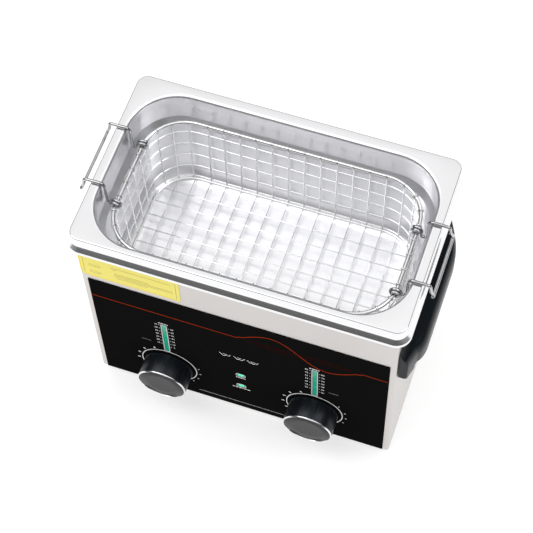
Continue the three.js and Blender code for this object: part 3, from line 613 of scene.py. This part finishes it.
def panel_print():
    """Everything printed on the panel. Inks: 0 white, 1 orange, 2 dark red, 3 grey, 4 silver."""
    shape = Shape()
    wave_bars(shape)
    wave_line(shape)
    scale_window(shape, -CONTROL_X, "timer_window", 70, 5)
    scale_window(shape, CONTROL_X, "temp_window", 85, 5)
    dial_marks(shape, -CONTROL_X, (115, 140, 163, 184, 16, -4, -24, -42))
    dial_marks(shape, CONTROL_X, (115, 140, 163, 184, 207, 40, 16, -4, -24))
    for x, peaks in ((-12, 1.5), (0, 2), (11, 2.5)):
        wave_icon(shape, x, 95.5, peaks)
    lamp_print(shape, "power_led", 4, 3)
    lamp_print(shape, "ultrasonic_led", 7.4, 5)
    words(shape, -CONTROL_X - 21, -CONTROL_X - 12.5, 80.5, 0.7, 7, 3)
    words(shape, CONTROL_X + 11.5, CONTROL_X + 20, 83, 0.7, 8, 3)
    words(shape, -38, 41, 13.5, 0.75, 9, 4)
    piece("panel_print", shape, [WHITE_INK, ORANGE_INK, DARK_RED_INK, GREY_INK, SILVER_INK],
          "housing")


def label():
    """The yellow notice: a thin sticker with one corner cut, a border and rows of greeked text."""
    low, high = box_mm("notice_label")
    cut = 4
    outline = [(low.x + cut, low.z), (high.x, low.z), (high.x, high.z), (low.x, high.z),
               (low.x, low.z + cut)]
    shape = Shape()
    shape.add(*slab(outline, low.y + PRINT_THICK, high.y))
    y = low.y + PRINT_THICK
    corner = [(low.x + 0.5, high.z - 0.5), (low.x + 0.5, low.z + cut), (low.x + cut, low.z + 0.5),
              (high.x - 0.5, low.z + 0.5)]
    for a, b in zip(corner, corner[1:]):
        line(shape, [a, b], 0.8, 2, y=y)
    line(shape, [(high.x - 3, low.z + 2), (high.x - 3, high.z - 2)], 0.35, 1, y=y)
    line(shape, [(low.x + 3.4, low.z + cut), (low.x + 3.4, high.z - 2)], 0.35, 1, y=y)
    for k, (z, left, right) in enumerate(((6, 26, 6), (8.2, 27, 50), (14, 28, 24), (16.2, 28, 5),
                                          (18.4, 28, 5), (20.6, 29, 26))):
        words(shape, low.x + left, high.x - right, high.z - z, 0.62, 20 + k, 1, y)
    for z in (high.z - 9.5, low.z + 8.5):
        bowl = [(low.x + 12.5 + 5 * math.cos(a), z + 2.2 * math.sin(a))
                for a in (math.pi * (1.1 + 0.1 * k) for k in range(9))]
        line(shape, bowl, 0.5, 1, y=y)
        words(shape, low.x + 8, low.x + 17, z + 0.4, 0.5, 41, 1, y)
    piece("label_sticker", shape, [LABEL_YELLOW, LABEL_INK, LABEL_EDGE], "housing",
          ["notice_label"])


# ---------------------------------------------------------------- knobs

def knob(name, body):
    """Anodised knob: an open-backed cup with a bright chamfer and a recessed spun face."""
    low, high = box_mm(f"{name}_knob")
    x, z = (low.x + high.x) / 2, (low.z + high.z) / 2
    radius, reach = (high.x - low.x) / 2, high.y - low.y
    back = high.y
    cap_radius = radius - 1.0
    edge = 0.3
    segments = 96
    shell = [
        (3.3, 2), (6.5, 2), (6.5, reach - 4), (radius - 2.2, reach - 4), (radius - 2.2, 0.3),
        (radius - 1.9, 0), (radius - 0.3, 0), (radius, 0.3), (radius, reach - 1.0),
    ]
    chamfer = [
        (radius - edge, reach - 0.4), (radius - edge - 0.35, reach),
        (cap_radius, reach - 0.1), (cap_radius - 0.15, reach - 0.5),
    ]
    shape = Shape()
    closing = [(3.3, reach - 1.2), (3.3, 2)]
    shape.add(*lathe([*shell, *chamfer, *closing], (x, back, z), segments=segments))
    first = (len(shell) - 1) * segments
    for i in range(first, first + len(chamfer) * segments):
        shape.finishes[i] = 1
    piece(f"{name}_knob_shell", shape, [KNOB_SIDE, KNOB_EDGE], body,
          [f"{name}_knob"])
    face = [(0, reach - 1.1), (cap_radius - 0.35, reach - 1.1), (cap_radius - 0.35, reach - 0.75),
            (cap_radius - 0.8, reach - 0.5), (cap_radius * 0.6, reach - 0.62), (0, reach - 0.68)]
    spun = spun_metal(f"{name}_knob_face", (0.022, 0.022, 0.025), 0.3, x, z)
    cap = Shape().add(*lathe(face, (x, back, z), segments=segments))
    piece(f"{name}_knob_disc", cap, [spun], body, [f"{name}_knob_cap"], smooth=50)


# ---------------------------------------------------------------- handles and feet

def handle():
    """The cup grip: a rounded shell, open underneath, behind a solid foot at its front end."""
    low, high = box_mm("right_handle")
    wall, reach, front, rear = low.x, high.x, low.y, high.y
    lip_z, edge_z = low.z + 5, low.z + 19
    thick, over_in, over_up = 3.8, 6, 11
    foot_end = front + 11

    def quad(a, b, c, steps):
        ts = [i / steps for i in range(steps + 1)]
        return [(1 - t) ** 2 * Vector(a) + 2 * t * (1 - t) * Vector(b) + t * t * Vector(c)
                for t in ts]

    heel, swell = Vector((wall + 7.4, front + 2)), Vector((reach - 4.5, front + 14))
    flank = [heel + (swell - heel) * t for t in (0.3, 0.6, 0.74, 0.76, 0.9)]
    outline = [
        *quad((wall + 6, front + 0.5), (wall + 7.2, front + 0.5), heel, 6), *flank,
        *quad(swell, (reach - 0.3, front + 19), (reach, front + 28), 12),
        *[Vector((reach, front + 28 + (rear - front - 67) * k / 4)) for k in (1, 2, 3)],
        *quad((reach, rear - 39), (reach - 0.3, rear - 21), (wall + 1.3, rear - 1), 16),
    ]

    def ring(x, y, shrink=0.0):
        span = x - wall
        bottom = low.z if y < foot_end else lip_z
        inset = min(over_in, 0.55 * span)
        wall_top = edge_z + over_up + 2 + (high.z - edge_z - over_up - 2) * min(1, span / 9)
        points = [(x - 1.1, bottom), (x - 0.3, bottom + 0.3), (x, bottom + 1.1)]
        for k in range(8):
            angle = math.radians(12 * k)
            points.append((x - inset * (1 - math.cos(angle)), edge_z + over_up * math.sin(angle)))
        points.append((wall, wall_top))
        if y < foot_end:
            points += [(wall + (span - 1.1) * k / 6, bottom) for k in range(6)]
        else:
            shell = min(thick, 0.7 * span)
            roof_x = max(wall + 0.1 * span, x - shell - inset)
            points += [(wall, wall_top - 5), (roof_x, edge_z + over_up - 4.5),
                       (x - shell - 0.1 * span, edge_z + 3), (x - shell, edge_z - 3),
                       (x - shell, bottom + 1), (x - 0.75 * shell, bottom)]
        middle = Vector((wall + span / 2, (bottom + wall_top) / 2))
        moved = [middle + (Vector(p) - middle) * (1 - shrink) for p in points]
        return [(max(p.x, wall), y, p.y) for p in reversed(moved)]

    rings = [ring(outline[0].x, front, 0.03)] + [ring(p.x, p.y) for p in outline]
    shape = Shape().add(*skin(rings))
    piece("right_handle_cup", shape, [HANDLE_PLASTIC], "housing", ["right_handle"],
          smooth=40)


def foot(corner):
    """Rubber foot: a short drum with a rounded tread and a screw recess underneath."""
    low, high = box_mm(f"foot_{corner}")
    centre = ((low.x + high.x) / 2, (low.y + high.y) / 2, 0)
    r = (high.x - low.x) / 2
    profile = [(0, 2), (3, 2), (3.3, 1.7), (3.3, 0.3), (3.6, 0), (r - 1.2, 0), (r - 0.5, 0.3),
               (r - 0.1, 1), (r, 2), (r, high.z - 0.4), (r - 0.4, high.z), (0, high.z)]
    shape = Shape().add(*lathe(profile, centre, "Z", 48))
    piece(f"foot_{corner}_pad", shape, [RUBBER], "housing", [f"foot_{corner}"])


# ---------------------------------------------------------------- basket

def inward(z):
    floor_z = RIM_TOP - ROW_DROPS[-1]
    return BASKET_TAPER * (RING_Z - z) / (RING_Z - floor_z)


def basket_loop(offset, z, steps=14):
    outline = rounded(BASKET["w"] + 2 * offset, BASKET["d"] + 2 * offset, BASKET["r"] + offset,
                      steps)
    return [(x, y + BASKET["y"], z) for x, y in outline]


def wall_wire(shape, at, out):
    """One upright wire of the wall. Its top end curls over the ring and its foot turns inwards.
    at is where it meets the ring, and out points outwards there."""
    curl = RING_WIRE + MESH_WIRE
    points = []
    for angle in range(-60, 181, 30):
        a = math.radians(angle)
        points.append(at + out * curl * math.cos(a) + Vector((0, 0, curl * math.sin(a))))
    points.append(at - out * curl * 0.9 - Vector((0, 0, 1.4)))
    bottom = RIM_TOP - ROW_DROPS[-1]
    for k in range(6):
        z = RING_Z - 4.5 - (RING_Z - 4.5 - bottom) * k / 5
        points.append(Vector((at.x, at.y, z)) - out * (inward(z) + 0.2))
    points.append(Vector((at.x, at.y, bottom - 1.2)) - out * (BASKET_TAPER + 1.4))
    shape.add(*tube(smooth_path(points, 2), MESH_WIRE, 8))


def long_walls():
    half = BASKET["d"] / 2
    for name, side in (("front", -1), ("back", 1)):
        shape = Shape()
        for k in range(12):
            x = -68.6 + MESH_PITCH * k
            wall_wire(shape, Vector((x, side * half + BASKET["y"], RING_Z)), Vector((0, side, 0)))
        piece(f"basket_{name}_wires", shape, [WIRE_STEEL], "basket",
              [f"basket_{name}_mesh"])


def end_walls():
    """The upright wires round each end, spaced evenly along the bend, the straight and the bend."""
    corner_x = BASKET["w"] / 2 - BASKET["r"]
    corner_y = BASKET["d"] / 2 - BASKET["r"]
    bend = BASKET["r"] * TURN / 4
    length = 2 * bend + 2 * corner_y
    for name, side, count in (("left", -1, 12), ("right", 1, 11)):
        shape = Shape()
        for k in range(count):
            s = (length - (count - 1) * MESH_PITCH) / 2 + k * MESH_PITCH
            if s < bend:
                angle = s / BASKET["r"] - TURN / 4
                centre_y = -corner_y
            elif s > length - bend:
                angle = (s - length + bend) / BASKET["r"]
                centre_y = corner_y
            else:
                angle = 0
                centre_y = s - bend - corner_y
            out = Vector((side * math.cos(angle), math.sin(angle), 0))
            at = Vector((side * corner_x, centre_y + BASKET["y"], RING_Z)) + out * BASKET["r"]
            wall_wire(shape, at, out)
        piece(f"basket_{name}_wires", shape, [WIRE_STEEL], "basket",
              [f"basket_{name}_front_mesh", f"basket_{name}_back_mesh"])


def basket_hoops():
    """The ring that the basket hangs by, and the level wires round its wall."""
    ring = Shape().add(*tube(basket_loop(0, RING_Z), RING_WIRE, 14, closed=True))
    piece("basket_ring", ring, [WIRE_STEEL], "basket", ["basket_rim"])
    hoops = Shape()
    for drop in ROW_DROPS:
        z = RIM_TOP - drop
        offset = -inward(z) - 0.2 + 1.8 * MESH_WIRE
        hoops.add(*tube(basket_loop(offset, z), MESH_WIRE, 8, closed=True))
    piece("basket_hoops", hoops, [WIRE_STEEL], "basket")


def basket_floor():
    """The floor: wires both ways inside a hem wire, each row resting on the one below."""
    low, high = box_mm("basket_floor")
    w, d = high.x - low.x, high.y - low.y
    radius = BASKET["r"] - BASKET_TAPER
    z = (low.z + high.z) / 2
    shape = Shape()
    hem = 0.9
    outline = rounded(w - 2 * hem, d - 2 * hem, radius - hem, 14)
    middle = BASKET["y"]
    shape.add(*tube([(x, y + middle, z) for x, y in outline], hem, 8, closed=True))

    def reach(across, half_along, half_across):
        """How far a wire runs from the middle line before it meets the hem."""
        beyond = max(0, abs(across) - (half_across - radius))
        return half_along - radius + math.sqrt(max(radius ** 2 - beyond ** 2, 0)) - 0.6

    for k in range(-7, 8):
        x = k * MESH_PITCH - 3.1
        half = reach(x, d / 2, w / 2)
        wire = [(x, middle - half, z), (x, middle, z), (x, middle + half, z)]
        shape.add(*tube(wire, MESH_WIRE, 8))
    for k in range(-3, 4):
        y = k * MESH_PITCH
        half = reach(y, w / 2, d / 2)
        top = z + 1.8 * MESH_WIRE
        wire = [(-half, middle + y, z), (-half + 3, middle + y, top),
                (half - 3, middle + y, top), (half, middle + y, z)]
        shape.add(*tube(wire, MESH_WIRE, 8))
    piece("basket_floor_wires", shape, [WIRE_STEEL], "basket", ["basket_floor"])


def bail(name, side, hinge_x, front_y, rear_y, body):
    """A carrying bail of one wire: an eye on the ring, a leg over the rim, a bar, and back."""
    wire, eye, turns, coil_pitch = 1.25, 3.75, 1.4, 2.7
    z = RING_Z
    over = RIM_TOP + wire + 0.3
    leg_points = [
        (hinge_x + eye + 0.3, z - 0.9), (hinge_x + eye + 1.4, z - 2), (117.3, z - 1.4),
        (118.4, z + 1.5), (118.4, RIM_TOP - 6), (118.9, RIM_TOP - 1), (121.4, over), (126.4, over),
        (132.2, over), (134.6, over - 0.9), (135.2, over - 3), (135.9, RIM_TOP - 6),
        (137.4, RIM_TOP - 9.4),
    ]
    bar_x, bar_z = 138, RIM_TOP - 12

    def leg(y, inwards):
        points = []
        coil_steps = 22
        for i in range(coil_steps, 0, -1):
            angle = TURN * turns * i / coil_steps
            shift = -inwards * coil_pitch * turns * i / coil_steps
            across = side * (hinge_x + eye * math.cos(angle))
            points.append((across, y + shift, z + eye * math.sin(angle)))
        points += [(side * x, y, height) for x, height in leg_points]
        points.append((side * bar_x, y + inwards * 2.5, bar_z))
        return points

    path = leg(front_y, 1) + list(reversed(leg(rear_y, -1)))
    shape = Shape().add(*tube(smooth_path(path, 4), wire, 12))
    # the bail's steel carries painted shade: a darker base colour than the basket wire's
    piece(f"{name}_wire", shape, [PAINTED_SHADE_BAIL_STEEL], body, [name])


# ---------------------------------------------------------------- screws at the back and below

def screw(shape, centre, axis, radius=3):
    """Button-head screw with a hexagonal socket."""
    steps = 24
    dome = [(radius, 0), (radius, 0.4), (radius * 0.94, 0.9), (radius * 0.75, 1.4),
            (radius * 0.5, 1.7)]
    socket = radius * 0.42

    def place(x, h, z):
        if axis == "Y":
            return (centre[0] - x, centre[1] + h, centre[2] + z)
        return (centre[0] + x, centre[1] - z, centre[2] - h)

    def ring(r, h, hexagonal=False):
        points = []
        for i in range(steps):
            angle = TURN * i / steps
            reach = r
            if hexagonal:
                reach = r * math.cos(math.pi / 6) / math.cos((angle % (math.pi / 3)) - math.pi / 6)
            points.append(place(reach * math.cos(angle), h, reach * math.sin(angle)))
        return points

    rings = [ring(r, h) for r, h in dome]
    rings += [ring(socket, 1.72, True), ring(socket, 0.6, True)]
    shape.add(*skin(rings))


def rear_screws():
    low, high = box_mm("rear_panel")
    shape = Shape()
    y = high.y
    for x in (low.x + 6, 0, high.x - 6):
        for z in (low.z + 8, high.z - 12):
            screw(shape, (x, y, z), "Y")
    for z in (low.z + 75, high.z - 80):
        for x in (low.x + 6, high.x - 6):
            screw(shape, (x, y, z), "Y")
    fan_low, fan_high = box_mm("fan_frame")
    for x in (fan_low.x + 5, fan_high.x - 5):
        for z in (fan_low.z + 5, fan_high.z - 5):
            screw(shape, (x, y, z), "Y", 2.6)
    piece("rear_screws", shape, [BLACK_PLASTIC], "housing")


def base_screws():
    low, high = box_mm("bottom_plate")
    shape = Shape()
    for x in (low.x + 7, 0, high.x - 7):
        for y in (low.y + 7, high.y - 7):
            screw(shape, (x, y, low.z), "-Z", 2.6)
    piece("base_screws", shape, [ALUMINIUM], "housing")


# ---------------------------------------------------------------- finishes on the CAD nodes

def finish_nodes():
    """Every CAD node gets the material of its slot, the lamps a green of their own; those that stay
    in view, but for the front overlay, get softened edges.
    """
    finishes = {
        "casing_steel": CASING_STEEL, "tank_steel": TANK_STEEL, "wire_steel": WIRE_STEEL,
        "panel_film": PANEL_FILM, "label": LABEL_YELLOW, "lens_green": WINDOW_GREEN,
        "black_gloss": BLACK_GLOSS, "knob_face": KNOB_EDGE, "black_plastic": BLACK_PLASTIC,
        "rubber": RUBBER, "brass": BRASS, "aluminium": ALUMINIUM, "ceramic": CERAMIC,
        "ferrite": FERRITE, "circuit_board": CIRCUIT_BOARD, "silicone": SILICONE,
    }
    slots = {part["node"]: part["material_slot"] for part in frame["record"]["subparts"]}
    for name, obj in frame["nodes"].items():
        material = LAMP_GREEN if name.endswith("_led") else finishes[slots[name]]
        obj.data.materials.clear()
        obj.data.materials.append(material)
        if not obj.hide_render and name != "front_overlay":
            soften = obj.modifiers.new("soft_edges", "BEVEL")
            soften.width = SOFT_EDGE * MM
            soften.segments = 2
            soften.limit_method = "ANGLE"
            soften.angle_limit = math.radians(50)


# ---------------------------------------------------------------- studio

def floor():
    size = 1600
    corners = [(-size, -size, 0), (size, -size, 0), (size, size, 0), (-size, size, 0)]
    mesh_shape = Shape().add(corners, [[0, 1, 2, 3]])
    mesh = bpy.data.meshes.new("floor")
    mesh.from_pydata([tuple(c * MM for c in v) for v in mesh_shape.verts], [], mesh_shape.faces)
    obj = bpy.data.objects.new("floor", mesh)
    paper = surface("floor_paper", (0.58, 0.58, 0.58), 0.9, vary=0.004, scale=20, relief=0.000001,
                    specular=0.0)
    shader = paper.node_tree.nodes["Principled BSDF"]
    shader.inputs["Emission Color"].default_value = (1, 1, 1, 1)
    shader.inputs["Emission Strength"].default_value = 0.5
    obj.data.materials.append(paper)
    scene.collection.objects.link(obj)


def world():
    """A white room for light and background; in reflections, a bright ceiling over dark walls."""
    studio = bpy.data.worlds.new("studio")
    scene.world = studio
    studio.use_nodes = True
    tree = studio.node_tree
    tree.nodes.clear()
    out = tree.nodes.new("ShaderNodeOutputWorld")
    coordinates = tree.nodes.new("ShaderNodeTexCoord")
    split = tree.nodes.new("ShaderNodeSeparateXYZ")
    ramp = tree.nodes.new("ShaderNodeValToRGB")
    ramp.color_ramp.interpolation = "EASE"
    # (upward share of the ray's direction, brightness)
    stops = ((0.0, 0.30), (0.12, 0.11), (0.22, 0.065), (0.36, 0.065), (0.50, 0.13), (0.62, 0.9),
             (1.0, 1.15))
    elements = ramp.color_ramp.elements
    for position, value in stops[1:-1]:
        elements.new(position)
    for element, (position, value) in zip(elements, stops):
        element.position = position
        element.color = (value, value, value, 1)
    reflected = tree.nodes.new("ShaderNodeBackground")
    ambient = tree.nodes.new("ShaderNodeBackground")
    ambient.inputs["Strength"].default_value = 1.0
    ray = tree.nodes.new("ShaderNodeLightPath")
    mix = tree.nodes.new("ShaderNodeMixShader")
    link = tree.links.new
    link(coordinates.outputs["Generated"], split.inputs["Vector"])
    link(split.outputs["Z"], ramp.inputs["Fac"])
    link(ramp.outputs["Color"], reflected.inputs["Color"])
    link(ray.outputs["Is Glossy Ray"], mix.inputs["Fac"])
    link(ambient.outputs["Background"], mix.inputs[1])
    link(reflected.outputs["Background"], mix.inputs[2])
    link(mix.outputs["Shader"], out.inputs["Surface"])
    ambient.inputs["Color"].default_value = (1, 1, 1, 1)


def area_light(name, at, target, width, height, watts):
    light = bpy.data.lights.new(name, "AREA")
    light.shape = "RECTANGLE"
    light.size = width
    light.size_y = height
    light.energy = watts
    obj = bpy.data.objects.new(name, light)
    obj.location = at
    obj.rotation_euler = (Vector(target) - Vector(at)).to_track_quat("-Z", "Y").to_euler()
    scene.collection.objects.link(obj)
    return obj


def lights():
    middle = (0, 0, 0.12)
    area_light("top_left", (-0.9, -0.3, 1.8), middle, 0.9, 1.6, 9)
    area_light("top_right", (1.1, 0.2, 1.6), middle, 0.5, 1.2, 5)


def camera():
    """The viewing angle: from the front, a little to the right, and high."""
    at = Vector((0.2284, -0.59435, 1.27409))
    target = Vector((0.0082, -0.0213, 0.17))
    roll = math.radians(-2.355)
    data = bpy.data.cameras.new("camera")
    data.lens = 113
    data.sensor_width = 36
    data.clip_start = 0.01
    obj = bpy.data.objects.new("camera", data)
    turn = (target - at).to_track_quat("-Z", "Y").to_matrix() @ Matrix.Rotation(roll, 3, "Z")
    obj.matrix_world = Matrix.Translation(at) @ turn.to_4x4()
    scene.collection.objects.link(obj)
    scene.camera = obj


# ---------------------------------------------------------------- build

camera()
lights()
world()
floor()
tank()
panel_print()
label()
knob("timer", "timer_dial")
knob("temp", "temp_dial")
handle()
for place in ("front_left", "front_right", "rear_left", "rear_right"):
    foot(place)
long_walls()
end_walls()
basket_hoops()
basket_floor()
bail("bail_left", -1, 110.5, MIDDLE_Y - 27, MIDDLE_Y + 25, "left_bail")
bail("bail_right", 1, 110.1, MIDDLE_Y - 33.5, MIDDLE_Y + 17.5, "right_bail")
rear_screws()
base_screws()
finish_nodes()

scene.view_settings.view_transform = "Standard"
